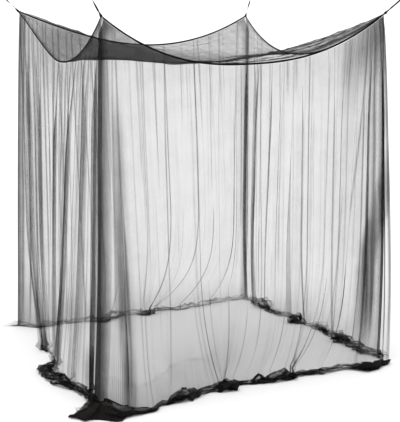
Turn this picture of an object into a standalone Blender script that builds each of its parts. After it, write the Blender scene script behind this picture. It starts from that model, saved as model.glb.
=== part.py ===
"""Mosquito net canopy: a sheer roof and four sheer walls hung by four cords from ceiling hooks.

Metres, +Z up. The floor is z = 0 and the origin is the middle of the net's footprint on it.
The front wall runs along +X, and the side walls run along +Y away from it.
Each wall hangs in uneven folds from its sewn edge, is longer than the drop, and lies in a pile at its foot.
"""

import math
from collections import namedtuple

import bmesh
import bpy
from mathutils import Vector

# Driving dimensions: the frame of edges
SPAN_X = 1.80  # between the corners along the front and the back, before each corner's own shift
SPAN_Y = 1.90  # between the corners along the sides
CORNER_Z = 2.20
CEILING_Z = 2.42
MIDDLE_X = 0.053  # the corners' middle stands off the footprint's middle, because the piles differ
MIDDLE_Y = 0.140
CLOTH = 0.002  # thickness of a net panel with its hem
GAP = 0.0003  # between two pieces that touch

# The sewn edge binding
BINDING_TALL = 0.015
BINDING_THICK = 0.003
BINDING_STEPS = 24
HANG_GAP = 0.0009  # the chords of a binding and of its wall differ by up to 0.6 mm

# The roof
ROOF_BELLY = 0.030  # how far the middle sags below the mean of the edges
ROOF_SLACK = 0.10  # the share of the sag that both pairs of edges add up to
ROOF_STEPS = 14

# Corner loops, cords and ceiling hooks
LOOP_RADIUS = 0.008
LOOP_NECK = 0.0042
LOOP_LONG = 0.026
CORD_RADIUS = 0.003
CORD_POINTS = 14
CORD_SAG = 0.0015
HOOK_Z = 2.390  # the wire's centre at the bottom of the hook
HOOK_RADIUS = 0.010
HOOK_WIRE = 0.002
HOOK_TIP_ANGLE = math.radians(35)
HOOK_STEPS = 12
CORD_STANDOFF = 0.0036  # from the hook's wire centre to the cord's blunt end, which meets the wire aslant
BALL_ANGLES = (50, 25, 0, -25, -50, -75)  # degrees above the widest ring of a loop's ball
PLATE_RADIUS = 0.018
PLATE_THICK = 0.004
PLATE_CHAMFER = 0.0015
ROUND_STEPS = 12
AXIS_MERGE = 0.00005  # joins a turned profile's points on its axis
WIRE_ROUNDNESS = 2  # a wire or cord has 12 sides

# How a wall hangs: v runs from 0 at the binding to 1 just above the pile
DROP_ROWS = (0.0, 0.05, 0.15, 0.32, 0.52, 0.70, 0.84, 0.94, 1.0)
FOLD_FULL = 0.30  # the v at which a fold has its full depth
LEAN_POWER = 0.8  # a column leans more in its upper half
SWEEP_FROM = 0.62  # below this v the pile draws the folds aside
BILLOW = 0.22  # the cloth between two folds bellies the other way
NARROW_GAP = 0.050  # no extra column in a narrower gap between folds
FOOT_LIFT = 0.025  # the last hanging row above the pile's top
LUMP = 0.22  # a fold of full depth carries this much more cloth into the pile
FULL_DEPTH = 0.036
FOOT_FOLD = 0.5  # the share of a fold's depth that is left where it enters the pile
SHOULDER = 0.36  # a fold's half width is at most this share of the way to its neighbour
SPILL_REACH = 0.30  # how far into the pile its end's spill along the floor is felt
FLOOR_REST = 0.0012  # the cloth's middle surface where it lies flat

Corner = namedtuple("Corner", "side_x side_y shift_x shift_y shift_z hook_x hook_y")
Edge = namedtuple("Edge", "start end sag lean bow")
Line = namedtuple("Line", "start along outward span rise")
End = namedtuple("End", "inset lean sweep spill")
Fold = namedtuple("Fold", "top lean sweep width depth")
Pile = namedtuple("Pile", "s foot reach height")
Section = namedtuple("Section", "out up")

# A pile's section, in shares of its reach and height: out along the floor, up, and back over itself
PILE_SECTIONS = (
    Section(0.08, 0.45),
    Section(0.16, 0.0),
    Section(0.72, 0.0),
    Section(1.0, 0.35),
    Section(0.84, 0.88),
    Section(0.42, 1.0),
)

# The corners hang a little unevenly, each on a cord that runs out to its own hook
CORNERS = {
    "front_left": Corner(-1, -1, -0.012, 0.005, -0.014, 0.165, 0.148),
    "front_right": Corner(1, -1, 0.000, 0.000, 0.005, 0.150, 0.148),
    "back_right": Corner(1, 1, -0.010, 0.005, -0.011, 0.136, 0.148),
    "back_left": Corner(-1, 1, 0.022, -0.010, 0.022, 0.135, 0.135),
}

# Each edge sags between its corners: lean moves its low point along it, and bow makes it fuller
EDGES = {
    "front": Edge("front_left", "front_right", 0.282, -0.06, 2.45),
    "right": Edge("front_right", "back_right", 0.264, 0.28, 2.15),
    "back": Edge("back_left", "back_right", 0.223, 0.20, 1.95),
    "left": Edge("front_left", "back_left", 0.284, -0.44, 1.70),
}

# Each wall's two ends: inset from the corner at the binding, lean and sweep along the wall, and how
# far the pile spills along the floor past them
ENDS = {
    "front": (End(0.014, -0.05, -0.02, -0.24), End(0.014, 0.12, -0.03, 0.02)),
    "right": (End(0.014, 0.01, 0.04, 0.00), End(0.014, -0.02, -0.06, 0.00)),
    "back": (End(0.014, -0.11, 0.00, -0.13), End(0.014, -0.04, -0.02, 0.00)),
    "left": (End(0.014, -0.01, 0.00, 0.00), End(0.014, -0.42, -0.30, 0.02)),
}

# The main folds from each edge's start: place, lean and sweep along the wall, width, depth outward
FOLDS = {
    "front": (
        Fold(0.040, -0.040, -0.030, 0.036, 0.034),
        Fold(0.095, 0.000, 0.010, 0.050, -0.030),
        Fold(0.200, -0.005, 0.000, 0.070, 0.026),
        Fold(0.355, 0.005, -0.010, 0.080, -0.022),
        Fold(0.535, 0.030, 0.090, 0.060, 0.036),
        Fold(0.720, 0.010, 0.030, 0.090, -0.020),
        Fold(0.870, -0.010, -0.040, 0.070, 0.028),
        Fold(1.078, -0.005, -0.045, 0.060, 0.034),
        Fold(1.240, 0.005, -0.065, 0.070, -0.024),
        Fold(1.400, -0.030, -0.115, 0.055, 0.036),
        Fold(1.510, -0.050, -0.110, 0.060, -0.026),
        Fold(1.640, -0.130, -0.030, 0.055, 0.036),
        Fold(1.715, 0.020, -0.010, 0.040, -0.030),
        Fold(1.765, 0.080, -0.020, 0.030, 0.030),
    ),
    "right": (
        Fold(0.045, 0.010, 0.040, 0.036, 0.034),
        Fold(0.120, 0.010, 0.060, 0.050, -0.030),
        Fold(0.250, 0.015, 0.070, 0.075, 0.032),
        Fold(0.430, 0.015, 0.050, 0.090, -0.026),
        Fold(0.610, 0.010, -0.020, 0.070, 0.030),
        Fold(0.800, 0.020, 0.030, 0.090, -0.024),
        Fold(1.040, 0.000, -0.060, 0.070, 0.034),
        Fold(1.270, 0.010, -0.030, 0.090, -0.024),
        Fold(1.480, 0.010, -0.040, 0.075, 0.030),
        Fold(1.640, -0.010, -0.060, 0.060, -0.028),
        Fold(1.765, -0.020, -0.070, 0.050, 0.036),
        Fold(1.845, -0.020, -0.060, 0.034, -0.030),
    ),
    "back": (
        Fold(0.045, -0.100, -0.005, 0.036, 0.032),
        Fold(0.130, -0.070, -0.020, 0.055, -0.030),
        Fold(0.270, -0.020, -0.030, 0.080, 0.028),
        Fold(0.450, 0.000, 0.010, 0.080, -0.026),
        Fold(0.640, 0.015, 0.030, 0.075, 0.034),
        Fold(0.800, 0.000, -0.030, 0.060, -0.026),
        Fold(0.935, -0.010, -0.080, 0.060, 0.030),
        Fold(1.140, 0.010, -0.130, 0.060, 0.032),
        Fold(1.360, 0.005, -0.140, 0.070, -0.026),
        Fold(1.520, 0.000, -0.100, 0.060, 0.032),
        Fold(1.640, -0.030, -0.070, 0.050, -0.030),
        Fold(1.712, -0.040, -0.040, 0.040, 0.034),
    ),
    "left": (
        Fold(0.045, 0.005, 0.010, 0.036, 0.036),
        Fold(0.120, 0.015, 0.030, 0.046, -0.032),
        Fold(0.230, 0.030, 0.050, 0.060, 0.034),
        Fold(0.340, 0.040, 0.050, 0.060, -0.030),
        Fold(0.490, 0.060, 0.080, 0.075, 0.036),
        Fold(0.670, 0.030, 0.050, 0.080, -0.030),
        Fold(0.850, -0.010, 0.000, 0.080, 0.038),
        Fold(1.060, -0.090, -0.040, 0.075, -0.032),
        Fold(1.270, -0.150, -0.120, 0.070, 0.036),
        Fold(1.460, -0.230, -0.180, 0.060, -0.034),
        Fold(1.620, -0.310, -0.220, 0.055, 0.040),
        Fold(1.760, -0.380, -0.255, 0.045, -0.034),
    ),
}

# The pile at each wall's foot: where its inner line stands off the edge's line, its reach and height
PILES = {
    "front": (
        Pile(-0.06, 0.02, 0.17, 0.070),
        Pile(-0.02, 0.05, 0.21, 0.085),
        Pile(0.06, 0.11, 0.22, 0.070),
        Pile(0.14, 0.16, 0.14, 0.050),
        Pile(0.25, 0.14, 0.07, 0.036),
        Pile(0.42, 0.09, 0.11, 0.042),
        Pile(0.60, 0.06, 0.05, 0.030),
        Pile(0.70, 0.04, 0.09, 0.042),
        Pile(0.80, 0.03, 0.115, 0.048),
        Pile(0.88, 0.03, 0.03, 0.026),
        Pile(1.00, 0.02, 0.065, 0.036),
        Pile(1.17, 0.02, 0.09, 0.046),
        Pile(1.32, 0.01, 0.045, 0.030),
        Pile(1.46, 0.02, 0.06, 0.032),
        Pile(1.62, 0.02, 0.04, 0.030),
        Pile(1.72, 0.03, 0.11, 0.044),
        Pile(1.86, 0.03, 0.05, 0.040),
    ),
    "right": (
        Pile(0.04, 0.07, 0.06, 0.045),
        Pile(0.13, 0.05, 0.07, 0.046),
        Pile(0.21, 0.01, 0.08, 0.040),
        Pile(0.33, 0.00, 0.09, 0.038),
        Pile(0.53, 0.00, 0.12, 0.042),
        Pile(0.66, 0.02, 0.06, 0.030),
        Pile(0.87, 0.03, 0.12, 0.050),
        Pile(0.97, 0.00, 0.04, 0.022),
        Pile(1.05, -0.08, 0.12, 0.050),
        Pile(1.16, 0.02, 0.06, 0.028),
        Pile(1.30, -0.05, 0.08, 0.036),
        Pile(1.48, -0.08, 0.10, 0.040),
        Pile(1.80, -0.03, 0.06, 0.030),
    ),
    "back": (
        Pile(-0.07, -0.13, 0.05, 0.026),
        Pile(0.05, -0.24, 0.06, 0.026),
        Pile(0.28, -0.22, 0.05, 0.024),
        Pile(0.42, -0.25, 0.06, 0.028),
        Pile(0.60, -0.30, 0.08, 0.034),
        Pile(0.69, -0.27, 0.10, 0.048),
        Pile(0.76, -0.16, 0.05, 0.022),
        Pile(0.84, -0.26, 0.09, 0.040),
        Pile(1.02, -0.24, 0.06, 0.030),
        Pile(1.22, -0.15, 0.04, 0.024),
        Pile(1.32, -0.20, 0.05, 0.028),
        Pile(1.44, -0.18, 0.05, 0.026),
        Pile(1.60, -0.12, 0.05, 0.026),
        Pile(1.75, -0.08, 0.06, 0.030),
    ),
    "left": (
        Pile(0.03, 0.05, 0.05, 0.046),
        Pile(0.19, 0.06, 0.06, 0.038),
        Pile(0.32, 0.08, 0.085, 0.038),
        Pile(0.45, 0.10, 0.115, 0.038),
        Pile(0.62, 0.10, 0.12, 0.036),
        Pile(0.76, 0.09, 0.09, 0.028),
        Pile(0.84, 0.05, 0.04, 0.020),
        Pile(0.92, 0.03, 0.06, 0.022),
        Pile(0.97, 0.01, 0.05, 0.024),
        Pile(1.04, 0.03, 0.05, 0.045),
        Pile(1.15, 0.05, 0.04, 0.040),
    ),
}

NET_BLACK = (0.030, 0.028, 0.028)
BINDING_BLACK = (0.012, 0.012, 0.012)
CORD_BLACK = (0.016, 0.015, 0.016)
ZINC_GREY = (0.62, 0.62, 0.60)


def clear_scene():
    for scene_object in list(bpy.data.objects):
        bpy.data.objects.remove(scene_object, do_unlink=True)


def new_collection(name):
    collection = bpy.data.collections.new(name)
    bpy.context.scene.collection.children.link(collection)
    return collection


def material(name, colour, roughness, metallic=0.0):
    made = bpy.data.materials.new(name)
    made.use_nodes = True
    shader = made.node_tree.nodes["Principled BSDF"]
    shader.inputs["Base Color"].default_value = (*colour, 1.0)
    shader.inputs["Roughness"].default_value = roughness
    shader.inputs["Metallic"].default_value = metallic
    return made


def smooth(t):
    t = min(1.0, max(0.0, t))
    return t * t * (3 - 2 * t)


def corner_at(name):
    corner = CORNERS[name]
    x = MIDDLE_X + corner.side_x * SPAN_X / 2 + corner.shift_x
    y = MIDDLE_Y + corner.side_y * SPAN_Y / 2 + corner.shift_y
    return Vector((x, y, CORNER_Z + corner.shift_z))


def hook_bottom(name):
    """The wire's centre at the bottom of the hook that this corner's cord runs to."""
    corner = CORNERS[name]
    place = corner_at(name)
    x = place.x + corner.side_x * corner.hook_x
    y = place.y + corner.side_y * corner.hook_y
    return Vector((x, y, HOOK_Z))


def line_of(edge):
    """The straight line under an edge: level direction, outward normal, level length and rise."""
    start = corner_at(edge.start)
    end = corner_at(edge.end)
    level = Vector((end.x - start.x, end.y - start.y, 0))
    outward = Vector((level.y, -level.x, 0)).normalized()
    if outward.dot(start - Vector((MIDDLE_X, MIDDLE_Y, 0))) < 0:
        outward = -outward
    return Line(start, level.normalized(), outward, level.length, end.z - start.z)


LINES = {side: line_of(edge) for side, edge in EDGES.items()}


def edge_z(side, s):
    """The height of the edge at s metres from its start."""
    edge = EDGES[side]
    line = LINES[side]
    share = min(1.0, max(0.0, s / line.span))
    u = 2 * share - 1
    drop = edge.sag * (1 - abs(u) ** edge.bow) * (1 + edge.lean * u)
    return line.start.z + line.rise * share - drop


def edge_point(side, s, outward=0.0):
    line = LINES[side]
    point = line.start + line.along * s + line.outward * outward
    point.z = edge_z(side, s)
    return point


def add_object(name, mesh, collection, made_material):
    new_object = bpy.data.objects.new(name, mesh)
    mesh.materials.append(made_material)
    collection.objects.link(new_object)
    return new_object


def sheet(name, rows, thickness, collection, made_material):
    """A sheet through rows of points, thickened evenly about them."""
    form = bmesh.new()
    grid = [[form.verts.new(point) for point in row] for row in rows]
    for upper, lower in zip(grid, grid[1:]):
        for k in range(len(upper) - 1):
            form.faces.new((upper[k], lower[k], lower[k + 1], upper[k + 1]))
    mesh = bpy.data.meshes.new(name)
    form.to_mesh(mesh)
    form.free()
    mesh.shade_smooth()
    made = add_object(name, mesh, collection, made_material)
    solidify = made.modifiers.new("thickness", "SOLIDIFY")
    solidify.thickness = thickness
    solidify.offset = 0.0
    return made


def drifted(top, place, v):
    """Where a column of the wall stands along it: it leans all the way and sweeps near the floor."""
    pulled = max(0.0, (v - SWEEP_FROM) / (1 - SWEEP_FROM))
    return top + place.lean * v**LEAN_POWER + place.sweep * pulled * pulled


def fold_marks(side, v):
    """The left shoulder, crest and right shoulder of each fold at v, between the wall's two ends."""
    first, last = ENDS[side]
    places = [drifted(first.inset, first, v)]
    places += [drifted(fold.top, fold, v) for fold in FOLDS[side]]
    places.append(drifted(LINES[side].span - last.inset, last, v))
    marks = [(places[0],) * 3]
    for before, crest, after, fold in zip(places, places[1:], places[2:], FOLDS[side]):
        left = min(fold.width / 2, SHOULDER * (crest - before))
        right = min(fold.width / 2, SHOULDER * (after - crest))
        marks.append((crest - left, crest, crest + right))
    marks.append((places[-1],) * 3)
    return marks


def wall_columns(side, v):
    """(place, depth) of each column at v: three for a fold, and one for the belly between two folds."""
    top_marks = fold_marks(side, 0.0)
    marks = fold_marks(side, v)
    columns = [(marks[0][1], 0.0)]
    for k, fold in enumerate(FOLDS[side], 1):
        if top_marks[k][0] - top_marks[k - 1][2] > NARROW_GAP:
            columns.append(((marks[k - 1][2] + marks[k][0]) / 2, -BILLOW * fold.depth))
        left, crest, right = marks[k]
        columns.extend(((left, 0.0), (crest, fold.depth), (right, 0.0)))
    columns.append((marks[-1][1], 0.0))
    return columns


def pile_at(side, s):
    """(foot, reach, height) of the pile at s, read between the rows of its table."""
    rows = PILES[side]
    for before, after in zip(rows, rows[1:]):
        if s < after.s:
            t = smooth((s - before.s) / (after.s - before.s))
            return tuple(a + (b - a) * t for a, b in zip(before[1:], after[1:]))
    return rows[-1][1:]


def hanging_rows(side, piles):
    """The wall from the binding down to just above its pile."""
    tops = wall_columns(side, 0.0)
    rows = []
    for v in DROP_ROWS:
        row = []
        for (top, _), (s, depth), (foot, _, height) in zip(tops, wall_columns(side, v), piles):
            point = edge_point(side, s, foot * v + depth * smooth(v / FOLD_FULL))
            hung_from = edge_z(side, top) - BINDING_TALL / 2 - HANG_GAP
            point.z = hung_from + (height + FOOT_LIFT - hung_from) * v
            row.append(point)
        rows.append(row)
    return rows


def pile_rows(side, feet, piles):
    """The rest of the wall: out over the floor and back over itself, spilling past its ends."""
    first, last = ENDS[side]
    start = feet[0][0]
    end = feet[-1][0]
    rows = []
    for section in PILE_SECTIONS:
        row = []
        for (s, depth), (foot, reach, height) in zip(feet, piles):
            lump = 1 + LUMP * max(0.0, depth) / FULL_DEPTH
            out = foot + reach * section.out * lump + depth * FOOT_FOLD * (1 - section.out)
            spill = first.spill * (1 - smooth((s - start) / SPILL_REACH))
            spill += last.spill * (1 - smooth((end - s) / SPILL_REACH))
            spill *= section.out * (1 - section.up / 2)
            point = edge_point(side, s + spill, out)
            point.z = max(FLOOR_REST, height * section.up * lump)
            row.append(point)
        rows.append(row)
    return rows


def wall(side, collection, made_material):
    feet = wall_columns(side, 1.0)
    piles = [pile_at(side, s) for s, _ in feet]
    rows = hanging_rows(side, piles) + pile_rows(side, feet, piles)
    return sheet("wall_" + side, rows, CLOTH, collection, made_material)


def binding(side, collection, made_material):
    """The folded tape over the seam of roof and wall, from one corner loop to the next."""
    clear = LOOP_RADIUS + GAP
    run = LINES[side].span - 2 * clear
    stations = [clear + run * k / BINDING_STEPS for k in range(BINDING_STEPS + 1)]
    rows = []
    for up in (BINDING_TALL / 2, -BINDING_TALL / 2):
        rows.append([edge_point(side, s) + Vector((0, 0, up)) for s in stations])
    return sheet("binding_" + side, rows, BINDING_THICK, collection, made_material)


def roof_corner(name):
    """A corner of the roof's plan, inset from the two edges that meet there."""
    inset = BINDING_THICK / 2 + GAP
    place = corner_at(name)
    for side, edge in EDGES.items():
        if name in (edge.start, edge.end):
            place -= LINES[side].outward * inset
    return place


def roof_z(place, across, back):
    """The roof's height, with across and back from -1 at the left and front edge to 1 opposite."""
    total = 0.0
    weights = 0.0
    summed = 0.0
    shares = {"front": 1 - back, "back": 1 + back, "left": 1 - across, "right": 1 + across}
    for side, line in LINES.items():
        offset = place - line.start
        s = offset.dot(line.along)
        away = abs(offset.dot(line.outward))
        total += edge_z(side, s) / away**2
        weights += 1 / away**2
        summed -= (CORNER_Z - edge_z(side, s)) * shares[side] / 2
    # The belly lies towards the back left corner, where the roof is slackest
    belly = ROOF_BELLY * (1 - across**2) * (1 - back**2) * (1 - across) * (1 + back)
    return (1 - ROOF_SLACK) * total / weights + ROOF_SLACK * (CORNER_Z + summed) - belly


def roof(collection, made_material):
    front_left, front_right = roof_corner("front_left"), roof_corner("front_right")
    back_left, back_right = roof_corner("back_left"), roof_corner("back_right")
    # Stations crowd towards the edges, where the roof is steepest
    stations = [math.sin(math.pi / 2 * (2 * k / ROOF_STEPS - 1)) for k in range(ROOF_STEPS + 1)]
    rows = []
    for back in reversed(stations):
        row_start = front_left.lerp(back_left, (1 + back) / 2)
        row_end = front_right.lerp(back_right, (1 + back) / 2)
        row = []
        for across in stations:
            place = row_start.lerp(row_end, (1 + across) / 2)
            place.z = roof_z(place, across, back)
            row.append(place)
        rows.append(row)
    # Each corner of the roof stops short of the corner loop
    for row, neighbour in ((rows[0], rows[1]), (rows[-1], rows[-2])):
        for k, inner in ((0, 1), (-1, -2)):
            to_middle = (neighbour[inner] - row[k]).normalized()
            row[k] += to_middle * (LOOP_RADIUS + 2 * GAP + CLOTH)
    return sheet("roof_net", rows, CLOTH, collection, made_material)


def turned(name, profile, steps, collection, made_material):
    """A solid of revolution about Z: the profile runs from the top of the axis down to its bottom."""
    form = bmesh.new()
    corners = [form.verts.new((radius, 0, z)) for radius, z in profile]
    for upper, lower in zip(corners, corners[1:]):
        form.edges.new((upper, lower))
    mesh = bpy.data.meshes.new(name)
    form.to_mesh(mesh)
    form.free()
    made = add_object(name, mesh, collection, made_material)
    screw = made.modifiers.new("turn", "SCREW")
    screw.steps = steps
    screw.render_steps = steps
    screw.use_merge_vertices = True
    screw.merge_threshold = AXIS_MERGE
    screw.use_smooth_shade = True
    return made


def wire(name, points, radius, collection, made_material):
    """A round wire or cord with closed ends along the points."""
    curve = bpy.data.curves.new(name, "CURVE")
    curve.dimensions = "3D"
    curve.bevel_depth = radius
    curve.bevel_resolution = WIRE_ROUNDNESS
    curve.use_fill_caps = True
    spline = curve.splines.new("POLY")
    spline.points.add(len(points) - 1)
    for control, point in zip(spline.points, points):
        control.co = (*point, 1.0)
    made = bpy.data.objects.new(name, curve)
    curve.materials.append(made_material)
    collection.objects.link(made)
    return made


def corner_loop(name, direction, collection, made_material):
    """The sewn loop that gathers the two bindings: a ball at the corner with a neck towards the cord."""
    profile = [(0, LOOP_LONG), (LOOP_NECK, LOOP_LONG), (LOOP_NECK, LOOP_LONG / 2)]
    for degrees in BALL_ANGLES:
        angle = math.radians(degrees)
        profile.append((LOOP_RADIUS * math.cos(angle), LOOP_RADIUS * math.sin(angle)))
    profile.append((0, -LOOP_RADIUS))
    made = turned("corner_loop_" + name, profile, ROUND_STEPS, collection, made_material)
    made.rotation_mode = "QUATERNION"
    made.rotation_quaternion = Vector((0, 0, 1)).rotation_difference(direction)
    made.location = corner_at(name)
    return made


def cord(name, direction, collection, made_material):
    """The taut cord from the corner loop to the hook."""
    start = corner_at(name) + direction * (LOOP_LONG + GAP)
    end = hook_bottom(name) - direction * CORD_STANDOFF
    points = []
    for k in range(CORD_POINTS):
        t = k / (CORD_POINTS - 1)
        point = start.lerp(end, t)
        point.z -= CORD_SAG * 4 * t * (1 - t)
        points.append(point)
    return wire("cord_" + name, points, CORD_RADIUS, collection, made_material)


def hook_side(name):
    """From the hook's shank to its centre: the shank stands towards the net, which pulls against it."""
    return Vector((CORNERS[name].side_x * HOOK_RADIUS, 0, 0))


def hook(name, collection, made_material):
    """A plain wire hook: a shank down from the plate, a half turn and a raised tip."""
    side = hook_side(name)
    up = Vector((0, 0, HOOK_RADIUS))
    centre = hook_bottom(name) + up
    shank = centre - side
    top = Vector((shank.x, shank.y, CEILING_Z - PLATE_THICK - GAP))
    points = [top, top.lerp(shank, 0.5)]
    for k in range(HOOK_STEPS + 1):
        angle = math.pi + (math.pi + HOOK_TIP_ANGLE) * k / HOOK_STEPS
        points.append(centre + side * math.cos(angle) + up * math.sin(angle))
    return wire("hook_" + name, points, HOOK_WIRE, collection, made_material)


def ceiling_plate(name, collection, made_material):
    """The round plate that is screwed to the ceiling, with its flat face up."""
    profile = [
        (0, 0),
        (PLATE_RADIUS, 0),
        (PLATE_RADIUS, PLATE_CHAMFER - PLATE_THICK),
        (PLATE_RADIUS - PLATE_CHAMFER, -PLATE_THICK),
        (0, -PLATE_THICK),
    ]
    made = turned("ceiling_plate_" + name, profile, ROUND_STEPS * 2, collection, made_material)
    place = hook_bottom(name) - hook_side(name)
    made.location = (place.x, place.y, CEILING_Z)
    return made


def build():
    clear_scene()
    collection = new_collection("mosquito_net_canopy")
    net = material("net", NET_BLACK, 0.9)
    tape = material("binding_tape", BINDING_BLACK, 0.85)
    braid = material("cord", CORD_BLACK, 0.7)
    zinc = material("zinc", ZINC_GREY, 0.35, 1.0)
    roof(collection, net)
    for side in EDGES:
        wall(side, collection, net)
        binding(side, collection, tape)
    for name in CORNERS:
        direction = (hook_bottom(name) - corner_at(name)).normalized()
        corner_loop(name, direction, collection, tape)
        cord(name, direction, collection, braid)
        hook(name, collection, zinc)
        ceiling_plate(name, collection, zinc)


build()
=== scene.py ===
"""Looks of the mosquito net canopy: sheer black net, bound edges, ribbon cords and zinc hooks.

Metres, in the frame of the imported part, whose driving dimensions and folds are repeated here.
A wall is one sheet: q is the place along its sewn edge, and v runs from 0 there to 1 above its pile.
s is the place along the straight line between the edge's corners, and outward how far off that line.
The net's fine mesh is in its material, and its density says how many layers of cloth are drawn together.
"""

import math
from collections import namedtuple

import bpy
import numpy as np
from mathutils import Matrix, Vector


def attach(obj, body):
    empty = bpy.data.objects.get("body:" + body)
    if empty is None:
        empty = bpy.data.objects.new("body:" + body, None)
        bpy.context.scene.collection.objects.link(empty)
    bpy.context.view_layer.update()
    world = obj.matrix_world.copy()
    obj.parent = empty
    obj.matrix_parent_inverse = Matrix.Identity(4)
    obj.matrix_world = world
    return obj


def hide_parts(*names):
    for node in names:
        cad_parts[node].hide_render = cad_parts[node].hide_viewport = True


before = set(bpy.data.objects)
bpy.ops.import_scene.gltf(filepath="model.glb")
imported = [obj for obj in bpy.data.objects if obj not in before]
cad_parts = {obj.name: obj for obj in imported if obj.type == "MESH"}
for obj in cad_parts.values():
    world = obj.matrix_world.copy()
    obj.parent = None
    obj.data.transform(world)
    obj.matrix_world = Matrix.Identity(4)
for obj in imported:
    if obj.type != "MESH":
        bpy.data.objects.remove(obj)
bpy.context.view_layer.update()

# Driving dimensions: the frame of edges
SPAN_X = 1.80  # between the corners along the front and the back, before each corner's own shift
SPAN_Y = 1.90  # between the corners along the sides
CORNER_Z = 2.20
MIDDLE_X = 0.053  # the corners' middle stands off the footprint's middle, because the piles differ
MIDDLE_Y = 0.140
GAP = 0.0003  # between two pieces that touch

# The sewn edge binding
BINDING_TALL = 0.015
BINDING_THICK = 0.003
HANG_GAP = 0.0009  # the chords of a binding and of its wall differ by up to 0.6 mm

# The roof
ROOF_BELLY = 0.030  # how far the middle sags below the mean of the edges
ROOF_SLACK = 0.10  # the share of the sag that both pairs of edges add up to

# Corner loops, cords and ceiling hooks
LOOP_RADIUS = 0.008
LOOP_LONG = 0.026
CORD_SAG = 0.0015
HOOK_Z = 2.390  # the wire's centre at the bottom of the hook
CORD_STANDOFF = 0.0036  # from the hook's wire centre to the cord's blunt end, which meets the wire aslant

# How a wall hangs: v runs from 0 at the binding to 1 just above the pile
FOLD_FULL = 0.30  # the v at which a fold has its full depth
LEAN_POWER = 0.8  # a column leans more in its upper half
SWEEP_FROM = 0.62  # below this v the pile draws the folds aside
BILLOW = 0.22  # the cloth between two folds bellies the other way
NARROW_GAP = 0.050  # no extra column in a narrower gap between folds
FOOT_LIFT = 0.025  # the last hanging row above the pile's top
LUMP = 0.22  # a fold of full depth carries this much more cloth into the pile
FULL_DEPTH = 0.036
FOOT_FOLD = 0.5  # the share of a fold's depth that is left where it enters the pile
SHOULDER = 0.36  # a fold's half width is at most this share of the way to its neighbour
SPILL_REACH = 0.30  # how far into the pile its end's spill along the floor is felt

Corner = namedtuple("Corner", "side_x side_y shift_x shift_y shift_z hook_x hook_y")
Edge = namedtuple("Edge", "start end sag lean bow")
Line = namedtuple("Line", "start along outward span rise")
End = namedtuple("End", "inset lean sweep spill")
Fold = namedtuple("Fold", "top lean sweep width depth")


def by_side(kind, **tables):
    """Each side's rows of plain values as rows of that kind."""
    return {side: tuple(kind(*row) for row in rows) for side, rows in tables.items()}


# A pile's section, as (out, up) in shares of its reach and height: along the floor, up, and back over itself
PILE_SECTION = ((0.08, 0.45), (0.16, 0.0), (0.72, 0.0), (1.0, 0.35), (0.84, 0.88), (0.42, 1.0))

# The corners hang a little unevenly, each on a cord that runs out to its own hook
CORNERS = {
    "front_left": Corner(-1, -1, -0.012, 0.005, -0.014, 0.165, 0.148),
    "front_right": Corner(1, -1, 0.000, 0.000, 0.005, 0.150, 0.148),
    "back_right": Corner(1, 1, -0.010, 0.005, -0.011, 0.136, 0.148),
    "back_left": Corner(-1, 1, 0.022, -0.010, 0.022, 0.135, 0.135),
}

# Each edge sags between its corners: lean moves its low point along it, and bow makes it fuller
EDGES = {
    "front": Edge("front_left", "front_right", 0.282, -0.06, 2.45),
    "right": Edge("front_right", "back_right", 0.264, 0.28, 2.15),
    "back": Edge("back_left", "back_right", 0.223, 0.20, 1.95),
    "left": Edge("front_left", "back_left", 0.284, -0.44, 1.70),
}

# Each wall's two ends: inset from the corner at the binding, lean and sweep along the wall, and how
# far the pile spills along the floor past them
ENDS = {
    "front": (End(0.014, -0.05, -0.02, -0.24), End(0.014, 0.12, -0.03, 0.02)),
    "right": (End(0.014, 0.01, 0.04, 0.00), End(0.014, -0.02, -0.06, 0.00)),
    "back": (End(0.014, -0.11, 0.00, -0.13), End(0.014, -0.04, -0.02, 0.00)),
    "left": (End(0.014, -0.01, 0.00, 0.00), End(0.014, -0.42, -0.30, 0.02)),
}

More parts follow.
